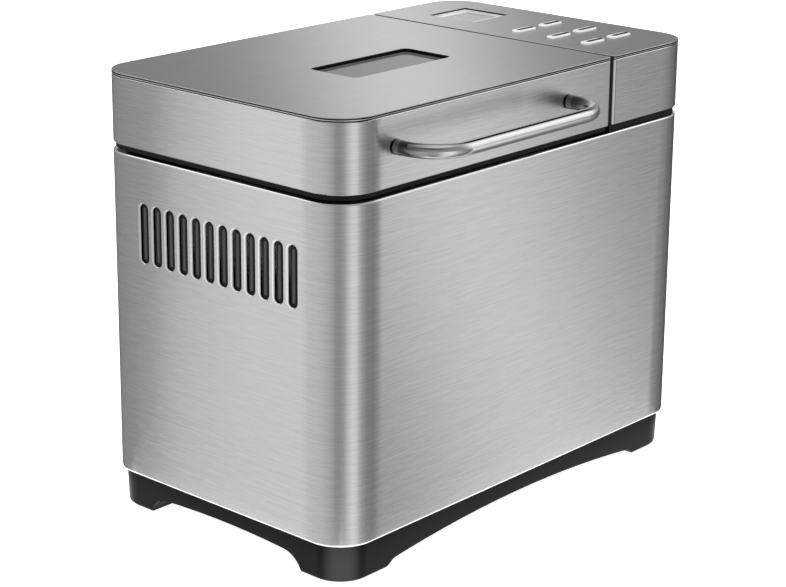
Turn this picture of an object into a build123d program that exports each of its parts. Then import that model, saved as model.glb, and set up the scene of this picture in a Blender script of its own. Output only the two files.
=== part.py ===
from build123d import *
import os

os.makedirs("parts", exist_ok=True)

# ---------------------------------------------------------------- driving dimensions, mm
W, D, R = 350.0, 215.5, 25.0          # outside of the steel body, corner radius
YC = 15.5                             # centre of the body front to back
YF, YB = YC - D / 2, YC + D / 2       # front and back face
LIFT = 3.8                            # heights below are counted from a datum this far above the worktop
Z_PAD, Z_FOOT = -LIFT, 1.0 - LIFT     # underside of the rubber pads and of the moulded feet
Z0, Z1 = 22.0, 240.0                  # steel sleeve, bottom and top
Z_BAND = 245.0                        # top of the black band, bottom of the lid skirt
Z_SHELL = 289.0                       # top of the skirts
Z_SHEET = 289.4                       # underside of the top plates, inside their rims
Z_TOP = 291.5                         # top plates
GROOVES = ((289.0, 289.6), (290.3, 290.9))  # two shadow grooves round each top plate
GROOVE_IN = 0.7
T = 1.0                               # sheet metal
ROLL_LOW, ROLL_TOP, FLANGE = 2.2, 1.3, 6.0  # rolled edges of the sleeve
BACK_W, SEAM = 296.0, 0.3             # separate panel in the back, and its seams
LX0, LX1 = -175.0, 82.5               # lid, left and right
PX0, PX1 = 85.5, 175.0                # control panel, left and right
XC = (LX0 + LX1) / 2                  # centre of lid, oven and pan
VENTS, VENT_PITCH, VENT_W, VENT_H, VENT_Z = 12, 11.95, 7.3, 39.2, 190.5
WIN_X, WIN_Y, WIN_W, WIN_D, WIN_R = -36.5, YC - 11.5, 93.0, 41.0, 5.0
LCD_X, LCD_Y, LCD_S = 130.2, YC + 55.0, 40.5
LCD_LIP = 0.7
KEY_X = (114.1, 143.6)
KEY_Y = (YC - 8.5, YC - 38.9, YC - 67.9)
KEY_L, KEY_W, KEY_UP = 22.8, 7.8, 0.9
KEY_GAP = 0.45
H_X, H_SPAN, H_Z, H_OUT, H_R, H_BEND = -46.0, 166.0, 269.1, 32.45, 4.55, 26.0
COLLAR_L, COLLAR_IN = 4.6, 3.8        # collars where the handle meets the lid
HY, HZ = YB - 5.0, 245.5              # hinge axis of the lid
HINGES = (-128.0, 35.0)               # hinge lugs along X
LUG_W, LUG_R, PIN_R = 10.0, 3.6, 1.75
OVEN_L, OVEN_D, OVEN_R = 212.0, 172.0, 12.0
Z_OVEN = 65.0                         # oven floor, inside
Z_PAN, Z_RIM = 86.0, 214.0            # pan underside and rim
PAN_T = 1.6
Z_PIVOT, BAIL_R, BAIL_X, BAIL_L = 221.0, 2.0, 96.5, 52.0
MX = 118.0                            # motor axis
Z_CH = 50.0                           # chassis plate
SHAFT_R, ROTOR_R = 4.0, 3.0
PULLEY_R, PINION_R = 34.0, 7.0
BELT_T, BELT_GAP = 1.8, 0.1
POSTS = [(-118.0, YC - 80), (118.0, YC - 80), (-118.0, YC + 80), (118.0, YC + 80)]
FEET = [(-154.0, YC - 87), (154.0, YC - 87), (-154.0, YC + 87), (154.0, YC + 87)]
CORD_X, CORD_Z, CORD_R = 130.0, 44.0, 3.6


def at(x, y, z):
    return Plane(origin=(x, y, z))


def facing(x, y, z, x_dir, z_dir):
    return Plane(origin=(x, y, z), x_dir=x_dir, z_dir=z_dir)


def outline(x0, x1, y0, y1, r_left, r_right):
    with BuildSketch(Plane.XY, mode=Mode.PRIVATE) as s:
        with Locations(((x0 + x1) / 2, (y0 + y1) / 2)):
            Rectangle(x1 - x0, y1 - y0)
        fillet(s.vertices().group_by(Axis.X)[0], radius=r_left)
        fillet(s.vertices().group_by(Axis.X)[-1], radius=r_right)
    return s.sketch


def lid_outline(i):
    return outline(LX0 + i, LX1 - i, YF + i, YB - i, R - i, max(2.5 - i, 0.6))


def panel_outline(i):
    return outline(PX0 + i, PX1 - i, YF + i, YB - i, max(2.5 - i, 0.6), R - i)


def lifted(part):
    moved = part.moved(Location((0, 0, LIFT)))
    moved.label = part.label
    return moved


BAND_IN = 1.6                         # the black band lies this far inside the steel
LID = {i: lid_outline(i) for i in (0, GROOVE_IN, 1.0, 1.15, BAND_IN, 7.0)}
PANEL = {i: panel_outline(i) for i in (0, GROOVE_IN, 1.0, 1.15, BAND_IN, 7.0)}

# ---------------------------------------------------------------- steel sleeve
with BuildPart() as sleeve_core:
    with BuildSketch(at(0, YC, Z0 + T)):
        RectangleRounded(W - 2 * T, D - 2 * T, R - T)
    extrude(amount=Z1 - Z0 - 2 * T)
    fillet(sleeve_core.edges().group_by(Axis.Z)[0], radius=ROLL_LOW - T)
    fillet(sleeve_core.edges().group_by(Axis.Z)[-1], radius=ROLL_TOP - T)
    with BuildSketch(at(0, YC, Z0 - 1)):
        RectangleRounded(W - 2 * FLANGE, D - 2 * FLANGE, R - FLANGE)
    extrude(amount=Z1 - Z0 + 2)

with BuildPart() as sleeve_loop:
    with BuildSketch(at(0, YC, Z0)):
        RectangleRounded(W, D, R)
    extrude(amount=Z1 - Z0)
    fillet(sleeve_loop.edges().group_by(Axis.Z)[0], radius=ROLL_LOW)
    fillet(sleeve_loop.edges().group_by(Axis.Z)[-1], radius=ROLL_TOP)
    add(sleeve_core.part, mode=Mode.SUBTRACT)

with BuildPart() as housing_sleeve:
    add(sleeve_loop.part)
    # the wrap is open at the back, where a separate panel closes it
    with BuildSketch(at(0, YB, Z0 - 1)):
        Rectangle(BACK_W, 40)
    extrude(amount=Z1 - Z0 + 2, mode=Mode.SUBTRACT)
    # twelve upright air slots in the left end
    with BuildSketch(facing(-W / 2, YC, VENT_Z, (0, -1, 0), (-1, 0, 0))):
        with Locations((1.1, 0)):
            with GridLocations(VENT_PITCH, 1, VENTS, 1):
                SlotOverall(VENT_H, VENT_W, rotation=90)
    extrude(amount=-4, mode=Mode.SUBTRACT)
    rims = housing_sleeve.edges().filter_by_position(Axis.X, -W / 2 - 0.01, -W / 2 + 0.01)
    rims = rims.filter_by_position(Axis.Z, VENT_Z - VENT_H / 2 - 1, VENT_Z + VENT_H / 2 + 1)
    fillet(rims, radius=0.6)
housing_sleeve.part.label = "housing_sleeve"
export_step(lifted(housing_sleeve.part), "parts/housing_sleeve.step")

with BuildPart() as sleeve_back:
    add(sleeve_loop.part)
    with BuildSketch(at(0, YB, Z0 - 1)):
        Rectangle(BACK_W - 2 * SEAM, 40)
    extrude(amount=Z1 - Z0 + 2, mode=Mode.INTERSECT)
    # hole for the cord bushing
    with BuildSketch(facing(CORD_X, YB, CORD_Z, (-1, 0, 0), (0, 1, 0))):
        Circle(7.0)
    extrude(amount=-3, mode=Mode.SUBTRACT)
sleeve_back.part.label = "sleeve_back"
export_step(lifted(sleeve_back.part), "parts/sleeve_back.step")

# bars behind the air slots, held by a rail above and a rail below
with BuildPart() as vent_grille:
    with BuildSketch(facing(-W / 2 + T + 0.2, YC, VENT_Z, (0, -1, 0), (-1, 0, 0))):
        with Locations((1.1, VENT_H / 2 + 5.5), (1.1, -VENT_H / 2 - 5.5)):
            Rectangle(VENTS * VENT_PITCH + 4, 7)
        with Locations((1.1, 0)):
            with GridLocations(VENT_PITCH, 1, VENTS, 1):
                Rectangle(VENT_W - 2.2, VENT_H + 6)
    extrude(amount=-2.0)
    with BuildSketch(facing(-W / 2 + T + 0.2, YC, VENT_Z, (0, -1, 0), (-1, 0, 0))):
        with Locations((1.1, 0)):
            with GridLocations(VENT_PITCH, 1, VENTS, 1):
                SlotOverall(VENT_H - 2.6, VENT_W - 2.6, rotation=90)
    extrude(amount=0.3)
vent_grille.part.label = "vent_grille"
export_step(lifted(vent_grille.part), "parts/vent_grille.step")

# ---------------------------------------------------------------- moulded base
with BuildPart() as base:
    with BuildSketch(at(0, YC, Z_FOOT)):
        RectangleRounded(342.2, 207.7, 21.4)
    extrude(amount=Z0 - Z_FOOT, taper=-1.9)
    fillet(base.edges().group_by(Axis.Z)[0], radius=2.5)
    with BuildSketch(at(0, YC, Z0)):
        RectangleRounded(337.4, 202.9, 18.7)
    extrude(amount=8)
    # hollow underside with four corner feet left standing
    with BuildSketch(at(0, YC, Z_PAD)):
        RectangleRounded(334, 199.5, 17.3)
        with GridLocations(2 * 157, 2 * 88, 2, 2):
            Rectangle(54, 44, mode=Mode.SUBTRACT)
    extrude(amount=15.5 - Z_PAD, mode=Mode.SUBTRACT)
    # tray above the floor
    with BuildSketch(at(0, YC, 18.5)):
        RectangleRounded(330, 195.5, 15.3)
    extrude(amount=20, mode=Mode.SUBTRACT)
    # arched skirt, front and back
    with BuildSketch(Plane.XZ) as arch_front:
        with BuildLine():
            ThreePointArc((-124, 2.3), (0, 9.9), (124, 2.3))
            Polyline((124, 2.3), (134.5, -5.2), (-134.5, -5.2), (-124, 2.3))
        make_face()
        fillet(arch_front.vertices().group_by(Axis.Y)[-1], radius=7)
    extrude(amount=300, both=True, mode=Mode.SUBTRACT)
    # arched skirt, both ends
    with BuildSketch(facing(0, YC, 0, (0, 1, 0), (1, 0, 0))):
        with BuildLine():
            ThreePointArc((-54, 9.2), (0, 11.2), (54, 9.2))
            ThreePointArc((54, 9.2), (63.7, 5.4), (69, -2.2))
            Polyline((69, -2.2), (70.2, -5.2), (-70.2, -5.2), (-69, -2.2))
            ThreePointArc((-69, -2.2), (-63.7, 5.4), (-54, 9.2))
        make_face()
    extrude(amount=300, both=True, mode=Mode.SUBTRACT)
    # posts for the chassis, with a blind hole at either end
    with BuildSketch(at(0, 0, 18)):
        with Locations(*POSTS):
            Circle(6.5)
    extrude(amount=Z_CH - 18)
    with BuildSketch(at(0, 0, 15)):
        with Locations(*POSTS):
            Circle(2.0)
    extrude(amount=13.2, mode=Mode.SUBTRACT)
    with BuildSketch(at(0, 0, Z_CH)):
        with Locations(*POSTS):
            Circle(2.0)
    extrude(amount=-10.2, mode=Mode.SUBTRACT)
    # air slots in the floor, under the motor and under the oven
    with BuildSketch(at(0, YC, 15)):
        with Locations((MX - 8, 0)):
            with GridLocations(11, 1, 7, 1):
                SlotOverall(84, 5, rotation=90)
        with Locations((XC - 30, 0)):
            with GridLocations(11, 1, 7, 1):
                SlotOverall(84, 5, rotation=90)
    extrude(amount=5, mode=Mode.SUBTRACT)
    # seats of the rubber pads
    with BuildSketch(at(0, 0, Z_PAD)):
        with Locations(*FEET):
            Circle(9.0)
    extrude(amount=3.2, mode=Mode.SUBTRACT)
base.part.label = "base"
export_step(lifted(base.part), "parts/base.step")

with BuildPart() as rubber_feet:
    with BuildSketch(at(0, 0, Z_PAD)):
        with Locations(*FEET):
            Circle(9.0)
    extrude(amount=3.2)
    fillet(rubber_feet.edges().group_by(Axis.Z)[0], radius=0.7)
rubber_feet.part.label = "rubber_feet"
export_step(lifted(rubber_feet.part), "parts/rubber_feet.step")

# eight equal screws: four up into the posts from below, four down through the chassis
with BuildPart() as case_screws:
    for z, up in ((15.5, 1), (Z_CH + 1.5, -1)):
        for x, y in POSTS:
            with BuildSketch(facing(x, y, z, (1, 0, 0), (0, 0, up))):
                Circle(2.0)
            extrude(amount=11.0)
            with BuildSketch(facing(x, y, z, (1, 0, 0), (0, 0, -up))):
                Circle(4.2)
            extrude(amount=2.6)
            with BuildSketch(facing(x, y, z - up * 2.6, (1, 0, 0), (0, 0, up))):
                Rectangle(4.6, 0.9)
                Rectangle(0.9, 4.6)
            extrude(amount=1.3, mode=Mode.SUBTRACT)
    fillet(case_screws.edges().filter_by(GeomType.CIRCLE).filter_by_position(Axis.Z, 12.85, 12.95), radius=1.0)
    fillet(case_screws.edges().filter_by(GeomType.CIRCLE).filter_by_position(Axis.Z, Z_CH + 4.05, Z_CH + 4.15), radius=1.0)
case_screws.part.label = "case_screws"
export_step(lifted(case_screws.part), "parts/case_screws.step")

# ---------------------------------------------------------------- deck inside the sleeve's top edge
with BuildPart() as top_frame:
    with BuildSketch(at(0, YC, 233.5)):
        RectangleRounded(342, 207.5, 21)
    extrude(amount=5.3)
    with BuildSketch(at(0, YC, 238.8)):
        RectangleRounded(337.4, 202.9, 18.7)
    extrude(amount=1.7)
    with BuildSketch(at(XC, YC, 230)):
        RectangleRounded(OVEN_L + 2 * T + 0.4, OVEN_D + 2 * T + 0.4, OVEN_R + T + 0.2)
    extrude(amount=15, mode=Mode.SUBTRACT)
    with BuildSketch(at(130, YC, 230)):
        RectangleRounded(50, 120, 8)
    extrude(amount=15, mode=Mode.SUBTRACT)
top_frame.part.label = "top_frame"
export_step(lifted(top_frame.part), "parts/top_frame.step")

# ---------------------------------------------------------------- control panel
with BuildPart() as panel_frame:
    with BuildSketch(at(0, 0, 240.5)):
        add(PANEL[BAND_IN])
    extrude(amount=Z_BAND - 240.5)
    with BuildSketch(at(0, 0, Z_BAND)):
        add(PANEL[1.15])
    extrude(amount=3)
    with BuildSketch(at(130, YC, 240)):
        RectangleRounded(50, 120, 8)
    extrude(amount=15, mode=Mode.SUBTRACT)
    with BuildSketch(at(130.5, YC + 1, 247)):
        with GridLocations(62, 166, 2, 2):
            Circle(3.5)
    extrude(amount=276 - 247)
    # black rib in the seam beside the lid
    with BuildSketch(at((LX1 + 0.7 + PX0 + 4) / 2, YC, 240.5)):
        Rectangle(PX0 + 4 - LX1 - 0.7, D - 2 * 1.7)
    extrude(amount=Z_BAND - 240.5)
    with BuildSketch(at((LX1 + 0.7 + PX0 - 0.05) / 2, YC, 240.5)):
        Rectangle(PX0 - 0.05 - LX1 - 0.7, D - 2 * 0.9)
    extrude(amount=289.9 - 240.5)
panel_frame.part.label = "panel_frame"
export_step(lifted(panel_frame.part), "parts/panel_frame.step")

with BuildPart() as panel_shell:
    with BuildSketch(at(0, 0, Z_BAND)):
        add(PANEL[0])
    extrude(amount=Z_SHELL - Z_BAND)
    fillet(panel_shell.edges().group_by(Axis.Z)[0], radius=0.7)
    fillet(panel_shell.edges().group_by(Axis.Z)[-1], radius=0.5)
    with BuildSketch(at(0, 0, Z_BAND - 1)):
        add(PANEL[1.0])
    extrude(amount=Z_SHELL - T - Z_BAND + 1, mode=Mode.SUBTRACT)
    with BuildSketch(at(0, 0, Z_BAND)):
        add(PANEL[7.0])
    extrude(amount=60, mode=Mode.SUBTRACT)
panel_shell.part.label = "panel_shell"
export_step(lifted(panel_shell.part), "parts/panel_shell.step")

with BuildPart() as panel_top_plate:
    with BuildSketch(at(0, 0, GROOVES[1][1])):
        add(PANEL[0])
    extrude(amount=Z_TOP - GROOVES[1][1])
    fillet(panel_top_plate.edges().group_by(Axis.Z)[-1], radius=0.4)
    with BuildSketch(at(0, 0, GROOVES[0][1])):
        add(PANEL[0])
    extrude(amount=GROOVES[1][0] - GROOVES[0][1])
    with BuildSketch(at(0, 0, Z_SHELL)):
        add(PANEL[GROOVE_IN])
    extrude(amount=Z_TOP - 0.5 - Z_SHELL)
    # inside its rim the plate is a thinner sheet
    with BuildSketch(at(0, 0, Z_SHELL - 1)):
        add(PANEL[7.0])
    extrude(amount=Z_SHEET - Z_SHELL + 1, mode=Mode.SUBTRACT)
    with BuildSketch(at(LCD_X, LCD_Y, Z_SHEET - 1)):
        RectangleRounded(LCD_S, LCD_S, 1.6)
    extrude(amount=10, mode=Mode.SUBTRACT)
    with BuildSketch(at(0, 0, Z_SHEET - 1)):
        with Locations(*[(x, y) for x in KEY_X for y in KEY_Y]):
            SlotOverall(KEY_L + 2 * KEY_GAP, KEY_W + 2 * KEY_GAP)
    extrude(amount=10, mode=Mode.SUBTRACT)
panel_top_plate.part.label = "panel_top_plate"
export_step(lifted(panel_top_plate.part), "parts/panel_top_plate.step")

with BuildPart() as lcd_lens:
    with BuildSketch(at(LCD_X, LCD_Y, Z_SHEET)):
        RectangleRounded(LCD_S - 0.4 - 2 * LCD_LIP, LCD_S - 0.4 - 2 * LCD_LIP, 1.0)
    extrude(amount=0.9)
lcd_lens.part.label = "lcd_lens"
export_step(lifted(lcd_lens.part), "parts/lcd_lens.step")

with BuildPart() as lcd_holder:
    with BuildSketch(at(LCD_X, LCD_Y, 277.6)):
        RectangleRounded(46, 46, 2)
    extrude(amount=Z_SHEET - 277.6)
    with BuildSketch(at(LCD_X, LCD_Y, Z_SHEET)):
        RectangleRounded(LCD_S - 0.2, LCD_S - 0.2, 1.5)
        RectangleRounded(LCD_S - 0.2 - 2 * LCD_LIP, LCD_S - 0.2 - 2 * LCD_LIP, 1.1, mode=Mode.SUBTRACT)
    extrude(amount=Z_TOP - 0.3 - Z_SHEET)
    with BuildSketch(at(LCD_X + 0.8, LCD_Y + 1.5, 277)):
        RectangleRounded(34, 27, 1)
    extrude(amount=20, mode=Mode.SUBTRACT)
lcd_holder.part.label = "lcd_holder"
export_step(lifted(lcd_holder.part), "parts/lcd_holder.step")

with BuildPart() as lcd_display:
    with BuildSketch(at(LCD_X + 0.8, LCD_Y + 1.5, 286.6)):
        RectangleRounded(34, 27, 1)
    extrude(amount=2.6)
lcd_display.part.label = "lcd_display"
export_step(lifted(lcd_display.part), "parts/lcd_display.step")

with BuildPart() as control_board:
    with BuildSketch(at(130.5, YC + 1, 276)):
        RectangleRounded(72, 178, 3)
    extrude(amount=1.6)
    with BuildSketch(at(0, 0, 277.6)):
        with Locations(*[(x, y) for x in KEY_X for y in KEY_Y]):
            Rectangle(6.2, 6.2)
    extrude(amount=3.5)
    with BuildSketch(at(0, 0, 281.1)):
        with Locations(*[(x, y) for x in KEY_X for y in KEY_Y]):
            Circle(1.75)
    extrude(amount=0.5)
    with BuildSketch(at(131, YC + 20, 276)):
        with Locations((0, 0), (0, -42)):
            Rectangle(16, 16)
    extrude(amount=-2.2)
control_board.part.label = "control_board"
export_step(lifted(control_board.part), "parts/control_board.step")


def key(name, x, y):
    with BuildPart() as cap:
        with BuildSketch(at(x, y, 288.8)):
            SlotOverall(KEY_L, KEY_W)
        extrude(amount=Z_TOP + KEY_UP - 288.8)
        fillet(cap.edges().group_by(Axis.Z)[-1], radius=1.0)
        # sunk middle, with a bright rim left round it
        with BuildSketch(at(x + 1.6, y, Z_TOP + KEY_UP)):
            SlotOverall(KEY_L - 6.4, 3.6)
        extrude(amount=-0.8, mode=Mode.SUBTRACT)
        with BuildSketch(at(x, y, 287.4)):
            SlotOverall(KEY_L + 3, KEY_W + 3)
        extrude(amount=1.4)
        with BuildSketch(at(x, y, 282.8)):
            Circle(2.0)
        extrude(amount=5)
    cap.part.label = name
    export_step(lifted(cap.part), "parts/" + name + ".step")


key("key_program", KEY_X[0], KEY_Y[0])
key("key_crust", KEY_X[0], KEY_Y[1])
key("key_size", KEY_X[0], KEY_Y[2])
key("key_up", KEY_X[1], KEY_Y[0])
key("key_down", KEY_X[1], KEY_Y[1])
key("key_start", KEY_X[1], KEY_Y[2])

# ---------------------------------------------------------------- lid
with BuildPart() as lid_shell:
    with BuildSketch(at(0, 0, Z_BAND)):
        add(LID[0])
    extrude(amount=Z_SHELL - Z_BAND)
    fillet(lid_shell.edges().group_by(Axis.Z)[0], radius=0.7)
    fillet(lid_shell.edges().group_by(Axis.Z)[-1], radius=0.5)
    with BuildSketch(at(0, 0, Z_BAND - 1)):
        add(LID[1.0])
    extrude(amount=Z_SHELL - T - Z_BAND + 1, mode=Mode.SUBTRACT)
    with BuildSketch(at(0, 0, Z_BAND)):
        add(LID[7.0])
    extrude(amount=60, mode=Mode.SUBTRACT)
    # notches that swing past the hinge lugs
    with BuildSketch(at(0, YB, Z_BAND - 1)):
        with Locations(*[(x, 0) for x in HINGES]):
            Rectangle(LUG_W + 2.4, 6)
    extrude(amount=6.2, mode=Mode.SUBTRACT)
    # holes of the handle screws
    with BuildSketch(facing(H_X, YF, H_Z, (1, 0, 0), (0, -1, 0))):
        with Locations((-H_SPAN / 2, 0), (H_SPAN / 2, 0)):
            Circle(2.0)
    extrude(amount=-3, mode=Mode.SUBTRACT)
lid_shell.part.label = "lid_shell"
export_step(lifted(lid_shell.part), "parts/lid_shell.step")

with BuildPart() as lid_top_plate:
    with BuildSketch(at(0, 0, GROOVES[1][1])):
        add(LID[0])
    extrude(amount=Z_TOP - GROOVES[1][1])
    fillet(lid_top_plate.edges().group_by(Axis.Z)[-1], radius=0.4)
    with BuildSketch(at(0, 0, GROOVES[0][1])):
        add(LID[0])
    extrude(amount=GROOVES[1][0] - GROOVES[0][1])
    with BuildSketch(at(0, 0, Z_SHELL)):
        add(LID[GROOVE_IN])
    extrude(amount=Z_TOP - 0.5 - Z_SHELL)
    # inside its rim the plate is a thinner sheet
    with BuildSketch(at(0, 0, Z_SHELL - 1)):
        add(LID[7.0])
    extrude(amount=Z_SHEET - Z_SHELL + 1, mode=Mode.SUBTRACT)
    with BuildSketch(at(WIN_X, WIN_Y, Z_SHEET - 1)):
        RectangleRounded(WIN_W, WIN_D, WIN_R)
    extrude(amount=10, mode=Mode.SUBTRACT)
lid_top_plate.part.label = "lid_top_plate"
export_step(lifted(lid_top_plate.part), "parts/lid_top_plate.step")

with BuildPart() as window_frame:
    with BuildSketch(at(WIN_X, WIN_Y, 284)):
        RectangleRounded(WIN_W + 14, WIN_D + 14, 11)
    extrude(amount=Z_SHEET - 284)
    # lip that lines the cut in the plate
    with BuildSketch(at(WIN_X, WIN_Y, Z_SHEET)):
        RectangleRounded(WIN_W - 0.2, WIN_D - 0.2, WIN_R - 0.1)
    extrude(amount=Z_TOP - 0.3 - Z_SHEET)
    with BuildSketch(at(WIN_X, WIN_Y, 286.6)):
        RectangleRounded(WIN_W + 4.2, WIN_D + 4.2, 7)
    extrude(amount=2.25, mode=Mode.SUBTRACT)
    with BuildSketch(at(WIN_X, WIN_Y, 288)):
        RectangleRounded(WIN_W - 1.6, WIN_D - 1.6, WIN_R - 0.8)
    extrude(amount=10, mode=Mode.SUBTRACT)
    with BuildSketch(at(WIN_X, WIN_Y, 283)):
        RectangleRounded(WIN_W - 6, WIN_D - 6, 4)
    extrude(amount=10, mode=Mode.SUBTRACT)
window_frame.part.label = "window_frame"
export_step(lifted(window_frame.part), "parts/window_frame.step")

with BuildPart() as window_glass:
    with BuildSketch(at(WIN_X, WIN_Y, 286.6)):
        RectangleRounded(WIN_W + 4, WIN_D + 4, 6.9)
    extrude(amount=2.2)
    # raised middle that fills the frame
    with BuildSketch(at(WIN_X, WIN_Y, 288.8)):
        RectangleRounded(WIN_W - 1.8, WIN_D - 1.8, WIN_R - 0.9)
    extrude(amount=0.5)
window_glass.part.label = "window_glass"
export_step(lifted(window_glass.part), "parts/window_glass.step")

with BuildPart() as window_inner_glass:
    with BuildSketch(at(WIN_X, WIN_Y, 281)):
        RectangleRounded(WIN_W + 12, WIN_D + 12, 9)
    extrude(amount=2.9)
window_inner_glass.part.label = "window_inner_glass"
export_step(lifted(window_inner_glass.part), "parts/window_inner_glass.step")

with BuildPart() as lid_rim:
    with BuildSketch(at(0, 0, 241.8)):
        add(LID[BAND_IN])
    extrude(amount=Z_BAND - 241.8)
    with BuildSketch(at(0, 0, Z_BAND)):
        add(LID[1.15])
    extrude(amount=3)
    with BuildSketch(at(XC, YC, 240)):
        RectangleRounded(227, 185, 28.5)
    extrude(amount=12, mode=Mode.SUBTRACT)
    # clear the hinge lugs, then stand a knuckle on either side of each
    with BuildSketch(at(0, 0, 240)):
        with Locations(*[(x, YB - 7.2) for x in HINGES]):
            Rectangle(LUG_W + 1.2, 15.6)
    extrude(amount=12, mode=Mode.SUBTRACT)
    for x in HINGES:
        for side in (-1, 1):
            with BuildSketch(facing(x + side * (LUG_W / 2 + 0.6), HY, HZ, (0, 1, 0), (side, 0, 0))):
                Circle(LUG_R)
            extrude(amount=8)
    for x in HINGES:
        with BuildSketch(facing(x - 13.6, HY, HZ, (0, 1, 0), (1, 0, 0))):
            Circle(PIN_R)
        extrude(amount=27.2, mode=Mode.SUBTRACT)
lid_rim.part.label = "lid_rim"
export_step(lifted(lid_rim.part), "parts/lid_rim.step")

with BuildPart() as liner_core:
    with BuildSketch(at(XC, YC, 247)):
        RectangleRounded(224, 182, 27)
    extrude(amount=33)
    fillet(liner_core.edges().group_by(Axis.Z)[-1], radius=7)

with BuildPart() as lid_liner:
    with BuildSketch(at(XC, YC, 248)):
        RectangleRounded(226, 184, 28)
    extrude(amount=33)
    fillet(lid_liner.edges().group_by(Axis.Z)[-1], radius=8)
    with BuildSketch(at(XC, YC, 248)):
        RectangleRounded(240, 197, 34)
    extrude(amount=1)
    add(liner_core.part, mode=Mode.SUBTRACT)
    with BuildSketch(at(WIN_X, WIN_Y, 275)):
        RectangleRounded(WIN_W + 4, WIN_D + 4, 6)
    extrude(amount=10, mode=Mode.SUBTRACT)
lid_liner.part.label = "lid_liner"
export_step(lifted(lid_liner.part), "parts/lid_liner.step")

with BuildPart() as lid_gasket:
    with BuildSketch(at(XC, YC, 241.9)):
        RectangleRounded(227, 185, 28.5)
        RectangleRounded(217, 175, 24, mode=Mode.SUBTRACT)
    extrude(amount=6.1)
    fillet(lid_gasket.edges().group_by(Axis.Z)[0], radius=1.4)
lid_gasket.part.label = "lid_gasket"
export_step(lifted(lid_gasket.part), "parts/lid_gasket.step")

with BuildPart() as handle_bar:
    with BuildLine(at(H_X, YF, H_Z)) as bow:
        FilletPolyline(
            (-H_SPAN / 2, 0), (-H_SPAN / 2, -H_OUT), (H_SPAN / 2, -H_OUT), (H_SPAN / 2, 0),
            radius=H_BEND,
        )
    with BuildSketch(facing(H_X - H_SPAN / 2, YF, H_Z, (1, 0, 0), (0, -1, 0))):
        Circle(H_R)
    sweep(path=bow.line)
    with BuildSketch(facing(H_X, YF, H_Z, (1, 0, 0), (0, -1, 0))):
        with Locations((-H_SPAN / 2, 0), (H_SPAN / 2, 0)):
            Circle(2.0)
    extrude(amount=4.5, mode=Mode.SUBTRACT)
    # ends turned down for the collars
    with BuildSketch(facing(H_X, YF, H_Z, (1, 0, 0), (0, -1, 0))):
        with Locations((-H_SPAN / 2, 0), (H_SPAN / 2, 0)):
            Circle(H_R + 2)
            Circle(COLLAR_IN, mode=Mode.SUBTRACT)
    extrude(amount=COLLAR_L, mode=Mode.SUBTRACT)
handle_bar.part.label = "handle_bar"
export_step(lifted(handle_bar.part), "parts/handle_bar.step")

with BuildPart() as handle_collars:
    with BuildSketch(facing(H_X, YF, H_Z, (1, 0, 0), (0, -1, 0))):
        with Locations((-H_SPAN / 2, 0), (H_SPAN / 2, 0)):
            Circle(H_R + 0.25)
            Circle(COLLAR_IN, mode=Mode.SUBTRACT)
    extrude(amount=COLLAR_L)
    fillet(handle_collars.edges().filter_by(GeomType.CIRCLE).group_by(Axis.Y)[0].sort_by(SortBy.RADIUS)[-2:], radius=0.3)
handle_collars.part.label = "handle_collars"
export_step(lifted(handle_collars.part), "parts/handle_collars.step")

with BuildPart() as handle_screws:
    with BuildSketch(facing(H_X, YF + T, H_Z, (1, 0, 0), (0, -1, 0))):
        with Locations((-H_SPAN / 2, 0), (H_SPAN / 2, 0)):
            Circle(4.2)
    extrude(amount=-2.6)
    fillet(handle_screws.edges().group_by(Axis.Y)[-1], radius=1.2)
    with BuildSketch(facing(H_X, YF + T, H_Z, (1, 0, 0), (0, -1, 0))):
        with Locations((-H_SPAN / 2, 0), (H_SPAN / 2, 0)):
            Circle(2.0)
    extrude(amount=5.0)
handle_screws.part.label = "handle_screws"
export_step(lifted(handle_screws.part), "parts/handle_screws.step")

# ---------------------------------------------------------------- lid hinges
with BuildPart() as hinge_brackets:
    for x in HINGES:
        with BuildSketch(facing(x - LUG_W / 2, 0, 0, (0, 1, 0), (1, 0, 0))):
            with Locations((HY, HZ)):
                Circle(LUG_R)
            with Locations((HY, (HZ + 240.5) / 2)):
                Rectangle(2 * LUG_R, HZ - 240.5)
            with Locations((HY - 5.0, 241.7)):
                Rectangle(9.4, 2.4)
            with Locations((HY, HZ)):
                Circle(PIN_R + 0.05, mode=Mode.SUBTRACT)
        extrude(amount=LUG_W)
hinge_brackets.part.label = "hinge_brackets"
export_step(lifted(hinge_brackets.part), "parts/hinge_brackets.step")

with BuildPart() as hinge_pins:
    for x in HINGES:
        with BuildSketch(facing(x - 13.6, HY, HZ, (0, 1, 0), (1, 0, 0))):
            Circle(PIN_R)
        extrude(amount=27.2)
hinge_pins.part.label = "hinge_pins"
export_step(lifted(hinge_pins.part), "parts/hinge_pins.step")

# ---------------------------------------------------------------- cord bushing
with BuildPart() as cord_bushing:
    with BuildSketch(facing(CORD_X, YB, CORD_Z, (-1, 0, 0), (0, 1, 0))):
        Circle(10.0)
    extrude(amount=2.0)
    with BuildSketch(facing(CORD_X, YB + 2.0, CORD_Z, (-1, 0, 0), (0, 1, 0))):
        Circle(7.5)
    extrude(amount=4.0, taper=8)
    fillet(cord_bushing.edges().group_by(Axis.Y)[-1], radius=0.8)
    with BuildSketch(facing(CORD_X, YB, CORD_Z, (-1, 0, 0), (0, 1, 0))):
        Circle(6.9)
    extrude(amount=-6.0)
    with BuildSketch(facing(CORD_X, YB + 10, CORD_Z, (-1, 0, 0), (0, 1, 0))):
        Circle(CORD_R)
    extrude(amount=-30, mode=Mode.SUBTRACT)
cord_bushing.part.label = "cord_bushing"
export_step(lifted(cord_bushing.part), "parts/cord_bushing.step")

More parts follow.
